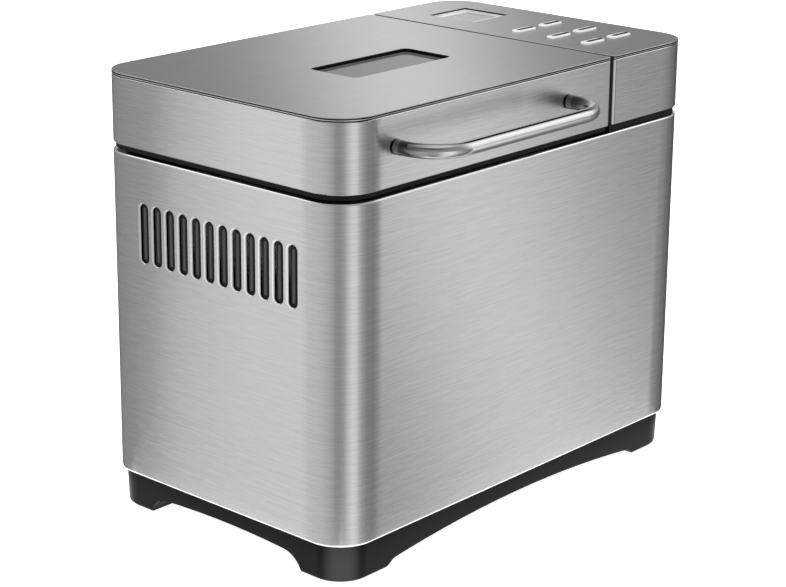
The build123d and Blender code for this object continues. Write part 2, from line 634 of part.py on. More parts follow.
# ---------------------------------------------------------------- oven chamber
with BuildPart() as oven_core:
    with BuildSketch(at(XC, YC, Z_OVEN)):
        RectangleRounded(OVEN_L, OVEN_D, OVEN_R)
    extrude(amount=200)
    fillet(oven_core.edges().group_by(Axis.Z)[0], radius=10)

with BuildPart() as oven_chamber:
    with BuildSketch(at(XC, YC, Z_OVEN - T)):
        RectangleRounded(OVEN_L + 2 * T, OVEN_D + 2 * T, OVEN_R + T)
    extrude(amount=241.5 - Z_OVEN + T)
    fillet(oven_chamber.edges().group_by(Axis.Z)[0], radius=11)
    with BuildSketch(at(XC, YC, 240.5)):
        RectangleRounded(OVEN_L + 10, OVEN_D + 10, OVEN_R + 5)
    extrude(amount=1.0)
    add(oven_core.part, mode=Mode.SUBTRACT)
    with BuildSketch(at(XC, YC, Z_OVEN - 3)):
        Circle(9)
    extrude(amount=6, mode=Mode.SUBTRACT)
    with BuildSketch(facing(XC + OVEN_L / 2 - 2, YC, 92, (0, 1, 0), (1, 0, 0))):
        with Locations((-22, 0), (22, 0)):
            Circle(4.2)
        with Locations((50, 48)):
            Circle(4.0)
    extrude(amount=5, mode=Mode.SUBTRACT)
oven_chamber.part.label = "oven_chamber"
export_step(lifted(oven_chamber.part), "parts/oven_chamber.step")

with BuildPart() as heating_element:
    with BuildLine(at(XC, YC, 92)) as loop:
        FilletPolyline(
            (125, -22), (98, -22), (98, -76.5), (-98, -76.5), (-98, 76.5), (98, 76.5), (98, 22), (125, 22),
            radius=[5.5, 13, 13, 13, 13, 5.5],
        )
    with BuildSketch(facing(XC + 125, YC - 22, 92, (0, 1, 0), (-1, 0, 0))):
        Circle(3.3)
    sweep(path=loop.line)
    with BuildSketch(facing(XC + 125, YC, 92, (0, 1, 0), (1, 0, 0))):
        with Locations((-22, 0), (22, 0)):
            Rectangle(1.0, 5.0)
    extrude(amount=9)
heating_element.part.label = "heating_element"
export_step(lifted(heating_element.part), "parts/heating_element.step")

with BuildPart() as heater_brackets:
    with BuildSketch(at(XC, YC, 87)):
        with GridLocations(120, 2 * 79.75, 2, 2):
            Rectangle(8, 12.5)
    extrude(amount=10)
    with BuildSketch(facing(XC - 80, YC, 92, (0, 1, 0), (1, 0, 0))):
        with Locations((-76.5, 0), (76.5, 0)):
            Circle(3.32)
    extrude(amount=160, mode=Mode.SUBTRACT)
heater_brackets.part.label = "heater_brackets"
export_step(lifted(heater_brackets.part), "parts/heater_brackets.step")

with BuildPart() as temperature_probe:
    with BuildSketch(facing(XC + 97, YC + 50, 140, (0, 1, 0), (1, 0, 0))):
        Circle(4.0)
    extrude(amount=21)
    fillet(temperature_probe.edges().group_by(Axis.X)[0], radius=2)
    with BuildSketch(facing(XC + OVEN_L / 2 + T, YC + 50, 140, (0, 1, 0), (1, 0, 0))):
        RectangleRounded(26, 12, 3)
    extrude(amount=1.6)
temperature_probe.part.label = "temperature_probe"
export_step(lifted(temperature_probe.part), "parts/temperature_probe.step")

with BuildPart() as pan_clips:
    for side in (-1, 1):
        with BuildSketch(facing(XC, YC - 8, 0, (1, 0, 0), (0, 1, 0))):
            with BuildLine():
                Polyline(
                    (side * 62, -Z_OVEN), (side * 44, -Z_OVEN), (side * 43.2, -80), (side * 46.5, -86),
                    (side * 47.5, -85.6), (side * 44.4, -80), (side * 45, -66), (side * 62, -66), (side * 62, -Z_OVEN),
                )
            make_face()
        extrude(amount=16)
pan_clips.part.label = "pan_clips"
export_step(lifted(pan_clips.part), "parts/pan_clips.step")

# ---------------------------------------------------------------- bread pan
PAN_TAPER = -2.24
with BuildPart() as pan_core:
    with BuildSketch(at(XC, YC, Z_PAN + PAN_T)):
        RectangleRounded(166 - 2 * PAN_T, 126 - 2 * PAN_T, 26 - PAN_T)
    extrude(amount=Z_RIM - Z_PAN + 6, taper=PAN_TAPER)
    fillet(pan_core.edges().group_by(Axis.Z)[0], radius=8.5)

with BuildPart() as bread_pan:
    with BuildSketch(at(XC, YC, Z_PAN)):
        RectangleRounded(166, 126, 26)
    extrude(amount=Z_RIM - Z_PAN, taper=PAN_TAPER)
    fillet(bread_pan.edges().group_by(Axis.Z)[0], radius=10)
    with BuildSketch(at(XC, YC, Z_RIM - 1.6)):
        RectangleRounded(184, 144, 35)
    extrude(amount=1.6)
    add(pan_core.part, mode=Mode.SUBTRACT)
    with BuildSketch(at(XC, YC, Z_PAN - 2)):
        Circle(6.0)
    extrude(amount=8, mode=Mode.SUBTRACT)
bread_pan.part.label = "bread_pan"
export_step(lifted(bread_pan.part), "parts/bread_pan.step")

with BuildPart() as pan_base_ring:
    with BuildSketch(at(XC, YC, 65.4)):
        Circle(42)
        Circle(39, mode=Mode.SUBTRACT)
    extrude(amount=Z_PAN - 65.4)
    with BuildSketch(at(XC, YC, 65)):
        with PolarLocations(40, 6, start_angle=30):
            Rectangle(8, 10)
    extrude(amount=6, mode=Mode.SUBTRACT)
pan_base_ring.part.label = "pan_base_ring"
export_step(lifted(pan_base_ring.part), "parts/pan_base_ring.step")

with BuildPart() as shaft_bush:
    with BuildSketch(facing(XC, YC, 0, (1, 0, 0), (0, -1, 0))):
        with BuildLine():
            Polyline(
                (4.05, 82.5), (11, 82.5), (11, 86), (6, 86), (6, 87.6), (9, 87.6), (7.5, 89.4), (4.05, 89.4), (4.05, 82.5)
            )
        make_face()
    revolve(axis=Axis((XC, YC, 0), (0, 0, 1)))
shaft_bush.part.label = "shaft_bush"
export_step(lifted(shaft_bush.part), "parts/shaft_bush.step")

with BuildPart() as pan_ears:
    for side in (-1, 1):
        with BuildSketch(facing(XC + side * 90.4, YC, 0, (0, side, 0), (side, 0, 0))):
            with BuildLine():
                Polyline((-11, Z_RIM), (11, Z_RIM), (7, Z_PIVOT + 4), (-7, Z_PIVOT + 4), (-11, Z_RIM))
            make_face()
        extrude(amount=1.6)
        with BuildSketch(at(XC + side * 89.2, YC, Z_RIM)):
            Rectangle(5.6, 22)
        extrude(amount=1.4)
    with BuildSketch(facing(XC - 100, YC, Z_PIVOT, (0, 1, 0), (1, 0, 0))):
        Circle(BAIL_R + 0.08)
    extrude(amount=200, mode=Mode.SUBTRACT)
pan_ears.part.label = "pan_ears"
export_step(lifted(pan_ears.part), "parts/pan_ears.step")

with BuildPart() as pan_bail:
    with BuildLine(at(XC, YC, Z_PIVOT)) as wire:
        FilletPolyline(
            (-88, 0), (-BAIL_X, 0), (-BAIL_X, BAIL_L), (BAIL_X, BAIL_L), (BAIL_X, 0), (88, 0), radius=4.0
        )
    with BuildSketch(facing(XC - 88, YC, Z_PIVOT, (0, 1, 0), (-1, 0, 0))):
        Circle(BAIL_R)
    sweep(path=wire.line)
pan_bail.part.label = "pan_bail"
export_step(lifted(pan_bail.part), "parts/pan_bail.step")

# ---------------------------------------------------------------- paddle and drive
with BuildPart() as kneading_paddle:
    with BuildSketch(at(XC, YC, 90)):
        Circle(9)
    extrude(amount=20, taper=5)
    with BuildSketch(facing(XC, YC + 1.8, 0, (1, 0, 0), (0, -1, 0))) as blade:
        with BuildLine():
            Polyline((2, 91), (31, 91), (35, 97), (30, 112), (15, 117), (2, 109), (2, 91))
        make_face()
        fillet(blade.vertices().group_by(Axis.X)[-1], radius=3)
    extrude(amount=3.6)
    with BuildSketch(at(XC, YC, 88)):
        Circle(SHAFT_R + 0.03)
        with Locations((5.03, 0)):
            Rectangle(4, 12, mode=Mode.SUBTRACT)
    extrude(amount=18.2, mode=Mode.SUBTRACT)
kneading_paddle.part.label = "kneading_paddle"
export_step(lifted(kneading_paddle.part), "parts/kneading_paddle.step")

with BuildPart() as pan_shaft:
    with BuildSketch(at(XC, YC, 71)):
        Circle(SHAFT_R)
    extrude(amount=35)
    with BuildSketch(at(XC + 5, YC, 90)):
        Rectangle(4, 12)
    extrude(amount=20, mode=Mode.SUBTRACT)
pan_shaft.part.label = "pan_shaft"
export_step(lifted(pan_shaft.part), "parts/pan_shaft.step")

with BuildPart() as pan_coupling:
    with BuildSketch(at(XC, YC, 71.5)):
        Circle(7)
        RectangleRounded(5, 30, 2)
        Circle(SHAFT_R, mode=Mode.SUBTRACT)
    extrude(amount=9)
pan_coupling.part.label = "pan_coupling"
export_step(lifted(pan_coupling.part), "parts/pan_coupling.step")

with BuildPart() as drive_coupling:
    with BuildSketch(at(XC, YC, 66.4)):
        Circle(17)
    extrude(amount=3)
    with BuildSketch(at(XC, YC, 69.4)):
        with Locations((-12, 0), (12, 0)):
            RectangleRounded(6, 7, 1.5)
    extrude(amount=10)
    with BuildSketch(at(XC, YC, 60)):
        Circle(SHAFT_R)
    extrude(amount=20, mode=Mode.SUBTRACT)
drive_coupling.part.label = "drive_coupling"
export_step(lifted(drive_coupling.part), "parts/drive_coupling.step")

with BuildPart() as drive_shaft:
    with BuildSketch(at(XC, YC, 27)):
        Circle(SHAFT_R)
    extrude(amount=69.4 - 27)
    chamfer(drive_shaft.edges().group_by(Axis.Z)[0], length=0.6)
drive_shaft.part.label = "drive_shaft"
export_step(lifted(drive_shaft.part), "parts/drive_shaft.step")

with BuildPart() as drive_pulley:
    with BuildSketch(facing(XC, YC, 0, (1, 0, 0), (0, -1, 0))):
        with BuildLine():
            Polyline(
                (SHAFT_R, 29), (10, 29), (10, 33.5), (30.5, 33.5), (30.5, 29), (36.6, 29), (36.6, 30), (PULLEY_R, 31),
                (PULLEY_R, 39.4), (36.6, 40.4), (36.6, 41.4), (30.5, 41.4), (30.5, 36.5), (10, 36.5), (10, 41.4),
                (SHAFT_R, 41.4), (SHAFT_R, 29),
            )
        make_face()
    revolve(axis=Axis((XC, YC, 0), (0, 0, 1)))
    with BuildSketch(at(XC, YC, 28)):
        with PolarLocations(20, 6):
            Circle(6)
    extrude(amount=20, mode=Mode.SUBTRACT)
drive_pulley.part.label = "drive_pulley"
export_step(lifted(drive_pulley.part), "parts/drive_pulley.step")

with BuildPart() as bearing_housing:
    with BuildSketch(at(XC, YC, Z_CH + 1.5)):
        Circle(24)
    extrude(amount=3)
    with BuildSketch(at(XC, YC, 43.5)):
        Circle(13)
    extrude(amount=18.5)
    with BuildSketch(at(XC, YC, 40)):
        Circle(8)
    extrude(amount=30, mode=Mode.SUBTRACT)
bearing_housing.part.label = "bearing_housing"
export_step(lifted(bearing_housing.part), "parts/bearing_housing.step")

with BuildPart() as drive_bushes:
    for z in (43.5, 55.0):
        with BuildSketch(at(XC, YC, z)):
            Circle(8)
            Circle(SHAFT_R + 0.04, mode=Mode.SUBTRACT)
        extrude(amount=7)
drive_bushes.part.label = "drive_bushes"
export_step(lifted(drive_bushes.part), "parts/drive_bushes.step")

with BuildPart() as drive_belt:
    with BuildSketch(at(XC, YC, 31.4)):
        Circle(PULLEY_R + BELT_GAP + BELT_T)
        with Locations((MX - XC, 0)):
            Circle(PINION_R + BELT_GAP + BELT_T)
        make_hull()
    extrude(amount=7.6)
    with BuildSketch(at(XC, YC, 30)):
        Circle(PULLEY_R + BELT_GAP)
        with Locations((MX - XC, 0)):
            Circle(PINION_R + BELT_GAP)
        make_hull()
    extrude(amount=12, mode=Mode.SUBTRACT)
drive_belt.part.label = "drive_belt"
export_step(lifted(drive_belt.part), "parts/drive_belt.step")

with BuildPart() as motor_pulley:
    with BuildSketch(facing(MX, YC, 0, (1, 0, 0), (0, -1, 0))):
        with BuildLine():
            Polyline(
                (ROTOR_R, 29), (9.6, 29), (9.6, 30), (PINION_R, 31), (PINION_R, 39.4), (9.6, 40.4), (9.6, 41.4),
                (6, 41.4), (6, 44), (ROTOR_R, 44), (ROTOR_R, 29),
            )
        make_face()
    revolve(axis=Axis((MX, YC, 0), (0, 0, 1)))
motor_pulley.part.label = "motor_pulley"
export_step(lifted(motor_pulley.part), "parts/motor_pulley.step")

with BuildPart() as motor_shaft:
    with BuildSketch(at(MX, YC, 27.5)):
        Circle(ROTOR_R)
    extrude(amount=90.5)
    chamfer(motor_shaft.edges().group_by(Axis.Z)[0], length=0.5)
motor_shaft.part.label = "motor_shaft"
export_step(lifted(motor_shaft.part), "parts/motor_shaft.step")

with BuildPart() as motor_body:
    with BuildSketch(at(MX, YC, 56)):
        RectangleRounded(76, 76, 10)
    extrude(amount=2.5)
    with BuildSketch(at(MX, YC, 58.5)):
        Circle(37)
    extrude(amount=46)
    with BuildSketch(at(MX, YC, 104.5)):
        Circle(30)
    extrude(amount=8, taper=12)
    with BuildSketch(at(MX, YC, 56)):
        Circle(15)
    extrude(amount=-4)
    with BuildSketch(at(MX, YC, 20)):
        Circle(ROTOR_R + 0.05)
    extrude(amount=120, mode=Mode.SUBTRACT)
motor_body.part.label = "motor_body"
export_step(lifted(motor_body.part), "parts/motor_body.step")

with BuildPart() as motor_mounts:
    with BuildSketch(at(MX, YC, Z_CH + 1.5)):
        with GridLocations(60, 60, 2, 2):
            Circle(6)
    extrude(amount=56 - Z_CH - 1.5)
motor_mounts.part.label = "motor_mounts"
export_step(lifted(motor_mounts.part), "parts/motor_mounts.step")

with BuildPart() as motor_capacitor:
    with BuildSketch(at(MX, YC + 58, Z_CH + 1.5)):
        RectangleRounded(46, 20, 4)
    extrude(amount=34)
    fillet(motor_capacitor.edges().group_by(Axis.Z)[-1], radius=2)
motor_capacitor.part.label = "motor_capacitor"
export_step(lifted(motor_capacitor.part), "parts/motor_capacitor.step")

with BuildPart() as chassis_plate:
    with BuildSketch(at(0, YC, Z_CH)):
        RectangleRounded(316, 184, 12)
        with Locations((XC, 0)):
            Circle(13.1, mode=Mode.SUBTRACT)
        with Locations((MX, 0)):
            Circle(17, mode=Mode.SUBTRACT)
        with Locations(*[(x, y - YC) for x, y in POSTS]):
            Circle(2.0, mode=Mode.SUBTRACT)
    extrude(amount=1.5)
    # stand-offs under the oven
    with BuildSketch(at(XC, YC, Z_CH + 1.5)):
        with GridLocations(150, 110, 2, 2):
            Circle(5)
    extrude(amount=Z_OVEN - T - Z_CH - 1.5)
chassis_plate.part.label = "chassis_plate"
export_step(lifted(chassis_plate.part), "parts/chassis_plate.step")

with BuildPart() as power_board:
    with BuildSketch(facing(160, YC, 120, (0, 1, 0), (1, 0, 0))):
        with Locations((0, 56.75)):
            Rectangle(140, 113.5)
    extrude(amount=1.6)
    with BuildSketch(facing(160, YC, 120, (0, 1, 0), (1, 0, 0))):
        with Locations((-35, 40)):
            RectangleRounded(40, 34, 3)
    extrude(amount=-30)
    with BuildSketch(facing(160, YC, 120, (0, 1, 0), (1, 0, 0))):
        with Locations((15, 30), (40, 30)):
            Rectangle(20, 16)
    extrude(amount=-16)
    with BuildSketch(facing(160, YC, 120, (0, 1, 0), (1, 0, 0))):
        with Locations((12, 70), (30, 74), (48, 70)):
            Circle(6)
    extrude(amount=-20)
power_board.part.label = "power_board"
export_step(lifted(power_board.part), "parts/power_board.step")
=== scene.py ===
import math

import bmesh
import bpy
from mathutils import Matrix, Vector

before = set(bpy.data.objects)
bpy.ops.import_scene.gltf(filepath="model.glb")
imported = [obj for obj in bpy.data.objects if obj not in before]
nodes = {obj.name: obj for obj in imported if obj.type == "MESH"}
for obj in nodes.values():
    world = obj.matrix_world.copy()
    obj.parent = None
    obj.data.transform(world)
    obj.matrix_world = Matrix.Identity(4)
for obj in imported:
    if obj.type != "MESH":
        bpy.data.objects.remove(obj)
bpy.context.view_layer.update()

scene = bpy.context.scene
scene.view_settings.view_transform = "Standard"
scene.view_settings.look = "None"

MM = 0.001
W, D, YC = 350.0, 215.5, 15.5
YF, YB = YC - D / 2, YC + D / 2
LIFT = 0.0038                         # metres, datum of the heights above the worktop
XC = -46.25


# ------------------------------------------------------------------ node helpers
def new_mat(name):
    mat = bpy.data.materials.new(name)
    mat.use_nodes = True
    nt = mat.node_tree
    nt.nodes.clear()
    out = nt.nodes.new("ShaderNodeOutputMaterial")
    bsdf = nt.nodes.new("ShaderNodeBsdfPrincipled")
    nt.links.new(bsdf.outputs["BSDF"], out.inputs["Surface"])
    return mat, nt, bsdf


def node(nt, kind, **props):
    n = nt.nodes.new(kind)
    for key, value in props.items():
        setattr(n, key, value)
    return n


def coords(nt, scale):
    tc = node(nt, "ShaderNodeTexCoord")
    mp = node(nt, "ShaderNodeMapping")
    mp.inputs["Scale"].default_value = scale
    nt.links.new(tc.outputs["Object"], mp.inputs["Vector"])
    return mp.outputs["Vector"]


def noise(nt, vec, scale=1.0, detail=2.0, rough=0.5):
    n = node(nt, "ShaderNodeTexNoise")
    n.inputs["Scale"].default_value = scale
    n.inputs["Detail"].default_value = detail
    n.inputs["Roughness"].default_value = rough
    nt.links.new(vec, n.inputs["Vector"])
    return n.outputs["Fac"]


def ramp(nt, fac, stops, interp="LINEAR"):
    r = node(nt, "ShaderNodeValToRGB")
    r.color_ramp.interpolation = interp
    els = r.color_ramp.elements
    while len(els) < len(stops):
        els.new(0.5)
    for e, (pos, col) in zip(els, stops):
        e.position = pos
        e.color = (col, col, col, 1.0) if isinstance(col, (int, float)) else (*col, 1.0)
    nt.links.new(fac, r.inputs["Fac"])
    return r.outputs["Color"]


def remap(nt, value, lo, hi, from_lo=0.3, from_hi=0.7):
    m = node(nt, "ShaderNodeMapRange")
    m.inputs["From Min"].default_value = from_lo
    m.inputs["From Max"].default_value = from_hi
    m.inputs["To Min"].default_value = lo
    m.inputs["To Max"].default_value = hi
    nt.links.new(value, m.inputs["Value"])
    return m.outputs["Result"]


def bump(nt, height, strength, distance):
    b = node(nt, "ShaderNodeBump")
    b.inputs["Strength"].default_value = strength
    b.inputs["Distance"].default_value = distance
    nt.links.new(height, b.inputs["Height"])
    return b.outputs["Normal"]


# ------------------------------------------------------------------ materials
def math_node(nt, op, a, b):
    n = node(nt, "ShaderNodeMath", operation=op)
    for i, v in enumerate((a, b)):
        if isinstance(v, (int, float)):
            n.inputs[i].default_value = v
        else:
            nt.links.new(v, n.inputs[i])
    return n.outputs[0]


def place(nt):
    """Position on the part at rest, in metres, as three sockets."""
    tc = node(nt, "ShaderNodeTexCoord")
    sep = node(nt, "ShaderNodeSeparateXYZ")
    nt.links.new(tc.outputs["Object"], sep.inputs[0])
    return sep.outputs


def step(nt, value, edge, soft):
    """0 below edge, 1 above it."""
    m = node(nt, "ShaderNodeMapRange", interpolation_type="SMOOTHSTEP")
    m.inputs["From Min"].default_value = edge - soft
    m.inputs["From Max"].default_value = edge + soft
    nt.links.new(value, m.inputs["Value"])
    return m.outputs["Result"]


def mix_col(nt, fac, a, b):
    m = node(nt, "ShaderNodeMix", data_type="RGBA")
    nt.links.new(fac, m.inputs["Factor"])
    for sock, v in ((m.inputs[6], a), (m.inputs[7], b)):
        if isinstance(v, tuple):
            sock.default_value = (*v, 1.0)
        else:
            nt.links.new(v, sock)
    return m.outputs[2]


BODY_X, BODY_Y, MID_Y, CORNER, EASE = 0.175, 0.10775, 0.0155, 0.025, 0.011


def eased_corners(nt):
    """Bent sheet: the curve of each upright corner fades out over EASE into the flat, so the normal turns gently."""
    x, y, z = place(nt)[0:3]

    def turn(value, half):
        size = node(nt, "ShaderNodeMath", operation="ABSOLUTE")
        nt.links.new(value, size.inputs[0])
        side = node(nt, "ShaderNodeMath", operation="SIGN")
        nt.links.new(value, side.inputs[0])
        far = node(nt, "ShaderNodeMath", operation="ABSOLUTE")
        nt.links.new(math_node(nt, "SUBTRACT", size.outputs[0], half - CORNER), far.inputs[0])
        left = math_node(nt, "MAXIMUM", math_node(nt, "SUBTRACT", EASE, far.outputs[0]), 0.0)
        lean = math_node(nt, "DIVIDE", math_node(nt, "MULTIPLY", left, left), 4.0 * EASE * CORNER)
        return math_node(nt, "MULTIPLY", lean, side.outputs[0])

    def crown(value):
        # the ends bow a little towards the back seam
        part = math_node(nt, "DIVIDE", math_node(nt, "SUBTRACT", value, 0.026), BODY_Y - CORNER - 0.026)
        part = math_node(nt, "MINIMUM", math_node(nt, "MAXIMUM", part, 0.0), 1.0)
        return math_node(nt, "MULTIPLY", math_node(nt, "MULTIPLY", part, part), 0.034)

    push = node(nt, "ShaderNodeCombineXYZ")
    depth = math_node(nt, "SUBTRACT", y, MID_Y)
    nt.links.new(turn(x, BODY_X), push.inputs["X"])
    nt.links.new(math_node(nt, "ADD", turn(depth, BODY_Y), crown(depth)), push.inputs["Y"])
    world = node(nt, "ShaderNodeVectorTransform", vector_type="VECTOR", convert_from="OBJECT", convert_to="WORLD")
    nt.links.new(push.outputs[0], world.inputs[0])
    geo = node(nt, "ShaderNodeNewGeometry")
    both = node(nt, "ShaderNodeVectorMath", operation="ADD")
    nt.links.new(geo.outputs["Normal"], both.inputs[0])
    nt.links.new(world.outputs[0], both.inputs[1])
    unit = node(nt, "ShaderNodeVectorMath", operation="NORMALIZE")
    nt.links.new(both.outputs[0], unit.inputs[0])
    return unit.outputs[0]


def brushed(name, grain, tint=(0.655, 0.655, 0.657), spread=0.094, rough=0.20, aniso=0.98, bump_s=0.05, dark=None, highlight_mask=None):
    """Brushed sheet. grain 'round': lines run level round the body; 'x': along X on a level plate.
    The two socket makers give 1 where the sheet is cut and stands in shadow, painted near black as painted shade, and
    1 along the rolled and cut edges, painted lighter as a painted highlight."""
    mat, nt, b = new_mat(name)

    def lines(along, across):
        scale = (along, along, across) if grain == "round" else (along, across, along)
        return coords(nt, scale)

    f1 = noise(nt, lines(11.0, 3600.0), 1.0, 4.0, 0.65)
    f2 = noise(nt, lines(70.0, 2100.0), 1.0, 3.0, 0.65)
    f3 = noise(nt, lines(2.0, 260.0), 1.0, 3.0, 0.55)
    streak = math_node(nt, "ADD", math_node(nt, "MULTIPLY", f1, 0.46), math_node(nt, "MULTIPLY", f2, 0.48))
    streak = math_node(nt, "ADD", streak, math_node(nt, "MULTIPLY", f3, 0.06))
    lo = tuple(c * (1 - spread) for c in tint)
    hi = tuple(min(1.0, c * (1 + spread)) for c in tint)
    col = ramp(nt, streak, [(0.40, lo), (0.60, hi)])
    if highlight_mask:
        # painted highlight: the rolled and cut edges are coloured lighter so they read as bright lines
        col = mix_col(nt, highlight_mask(nt), col, (0.97, 0.97, 0.97))
    if dark:
        # painted shade: cut edges and grooves are coloured near black as if in shadow
        mask = dark(nt)
        col = mix_col(nt, mask, col, (0.004, 0.004, 0.004))
    nt.links.new(col, b.inputs["Base Color"])
    nt.links.new(remap(nt, streak, rough * 0.94, rough * 1.07, 0.40, 0.60), b.inputs["Roughness"])
    b.inputs["Metallic"].default_value = 1.0
    b.inputs["Anisotropic"].default_value = aniso
    b.inputs["Anisotropic Rotation"].default_value = 0.25
    tg = node(nt, "ShaderNodeTangent", direction_type="RADIAL", axis="Z" if grain == "round" else "Y")
    nt.links.new(tg.outputs["Tangent"], b.inputs["Tangent"])
    fine = node(nt, "ShaderNodeBump")
    fine.inputs["Strength"].default_value = bump_s
    fine.inputs["Distance"].default_value = 0.00002
    nt.links.new(streak, fine.inputs["Height"])
    if grain == "round":
        nt.links.new(eased_corners(nt), fine.inputs["Normal"])
    nt.links.new(fine.outputs["Normal"], b.inputs["Normal"])
    return mat


def between(nt, value, lo, hi, soft=0.00004):
    """1 where lo < value < hi."""
    return math_node(nt, "SUBTRACT", step(nt, value, lo, soft), step(nt, value, hi, soft))


def slot_area(nt, x0, x1):
    x, y, z = place(nt)[0:3]
    inside = math_node(nt, "MULTIPLY", between(nt, x, x0, x1), between(nt, y, -0.0561, 0.0871))
    return math_node(nt, "MULTIPLY", inside, between(nt, z, 0.168 + LIFT, 0.213 + LIFT))


def from_slot(nt, shift=0.0):
    """Distance from the middle line of the nearest air slot, metres."""
    x, y, z = place(nt)[0:3]
    cell = node(nt, "ShaderNodeMath", operation="FRACT")
    nt.links.new(math_node(nt, "DIVIDE", math_node(nt, "SUBTRACT", y, 0.0155 - 6 * 0.01195 + shift), 0.01195), cell.inputs[0])
    dy = math_node(nt, "MULTIPLY", math_node(nt, "SUBTRACT", cell.outputs[0], 0.5), 0.01195)
    up = node(nt, "ShaderNodeMath", operation="ABSOLUTE")
    nt.links.new(math_node(nt, "SUBTRACT", z, 0.1905 + LIFT), up.inputs[0])
    dz = math_node(nt, "MAXIMUM", math_node(nt, "SUBTRACT", up.outputs[0], 0.0196 - 0.00365), 0.0)
    root = node(nt, "ShaderNodeMath", operation="SQRT")
    nt.links.new(math_node(nt, "ADD", math_node(nt, "MULTIPLY", dy, dy), math_node(nt, "MULTIPLY", dz, dz)), root.inputs[0])
    return root.outputs[0]


def painted_edge_highlights(nt):
    """Painted highlight: the rolled edges of the sleeve, upper edge of the skirts, their edges beside the joint and
    rims of the air slots, coloured lighter so they read as bright lines.
    """
    x, y, z = place(nt)[0:3]
    top = between(nt, z, 0.2388 + LIFT, 0.2410 + LIFT)
    low = between(nt, z, 0.0100 + LIFT, 0.0237 + LIFT)
    skirt = step(nt, z, 0.28865 + LIFT, 0.00005)
    joint = math_node(nt, "MULTIPLY", between(nt, x, 0.0819, 0.0861), step(nt, z, 0.244 + LIFT, 0.0001))
    both = math_node(nt, "ADD", math_node(nt, "ADD", top, low), math_node(nt, "ADD", skirt, joint))
    rim = math_node(nt, "MULTIPLY", slot_area(nt, -0.1760, -0.17444), between(nt, from_slot(nt), 0.00300, 0.00432))
    both = math_node(nt, "ADD", both, rim)
    return math_node(nt, "MINIMUM", both, 1.0)


def slot_wall_shade(nt):
    """Painted shade: the cut edges of the air slots, coloured near black as if in shadow."""
    return slot_area(nt, -0.17446, -0.1735)


def groove_shade(nt):
    """Painted shade: the two grooves round the edge of a top plate, coloured near black as if in shadow."""
    z = place(nt)[2]
    low = between(nt, z, 0.2887 + LIFT, 0.28968 + LIFT)
    return math_node(nt, "ADD", low, between(nt, z, 0.29022 + LIFT, 0.29105 + LIFT))


def satin_metal(name, tint, rough, spread=0.08, scale=90.0, bump_s=0.03, shaded_span=None):
    mat, nt, b = new_mat(name)
    n1 = noise(nt, coords(nt, (scale, scale, scale)), 1.0, 4.0, 0.55)
    n2 = noise(nt, coords(nt, (scale * 12, scale * 12, scale * 12)), 1.0, 2.0, 0.5)
    lo = tuple(c * (1 - spread) for c in tint)
    hi = tuple(min(1.0, c * (1 + spread)) for c in tint)
    col = ramp(nt, n1, [(0.3, lo), (0.7, hi)])
    if shaded_span:
        # painted shade: colour darkened past a given y, standing in for shade near the lid
        start, full, shade = shaded_span
        col = mix_col(nt, step(nt, place(nt)[1], (start + full) / 2, (full - start) / 2), col, shade)
    nt.links.new(col, b.inputs["Base Color"])
    nt.links.new(remap(nt, n2, rough * 0.85, rough * 1.15), b.inputs["Roughness"])
    b.inputs["Metallic"].default_value = 1.0
    nt.links.new(bump(nt, n2, bump_s, 0.0001), b.inputs["Normal"])
    return mat


def plastic(name, tint, rough=0.5, grain=0.0007, bump_s=0.25, spec=0.5, spread=0.12, coat=0.0, second=None):
    """Moulded plastic. second = (socket index, edge in metres, colour past that edge)."""
    mat, nt, b = new_mat(name)
    s = 1.0 / grain
    n1 = noise(nt, coords(nt, (s, s, s)), 1.0, 2.0, 0.6)
    n2 = noise(nt, coords(nt, (35.0, 35.0, 35.0)), 1.0, 4.0, 0.5)
    lo = tuple(c * (1 - spread) for c in tint)
    hi = tuple(min(1.0, c * (1 + spread)) for c in tint)
    col = ramp(nt, n2, [(0.3, lo), (0.7, hi)])
    if second:
        axis, edge, other = second
        col = mix_col(nt, step(nt, place(nt)[axis], edge, 0.00005), col, other)
    nt.links.new(col, b.inputs["Base Color"])
    nt.links.new(remap(nt, n1, rough * 0.88, rough * 1.12), b.inputs["Roughness"])
    b.inputs["Specular IOR Level"].default_value = spec
    b.inputs["Coat Weight"].default_value = coat
    b.inputs["Coat Roughness"].default_value = 0.08
    nt.links.new(bump(nt, n1, bump_s, 0.00006), b.inputs["Normal"])
    return mat


def glass(name, tint, rough=0.02, alpha=0.35, spec=0.5):
    mat, nt, b = new_mat(name)
    n1 = noise(nt, coords(nt, (25.0, 25.0, 25.0)), 1.0, 3.0, 0.5)
    nt.links.new(remap(nt, n1, rough, rough * 2.0), b.inputs["Roughness"])
    lo = tuple(c * 0.97 for c in tint)
    nt.links.new(ramp(nt, n1, [(0.3, lo), (0.7, tint)]), b.inputs["Base Color"])
    b.inputs["IOR"].default_value = 1.5
    b.inputs["Specular IOR Level"].default_value = spec
    b.inputs["Alpha"].default_value = alpha
    return mat


steel_side = brushed("steel_brushed_side", "round", dark=slot_wall_shade, highlight_mask=painted_edge_highlights)
steel_top = brushed("steel_brushed_top", "x", dark=groove_shade)
# painted shade: the handle legs darken towards the lid, as if in its shade
handle_steel = satin_metal("steel_polished_tube", (0.74, 0.74, 0.745), 0.10, spread=0.03, scale=160.0, bump_s=0.01,
                           shaded_span=(-0.1200, -0.1010, (0.15, 0.15, 0.152)))
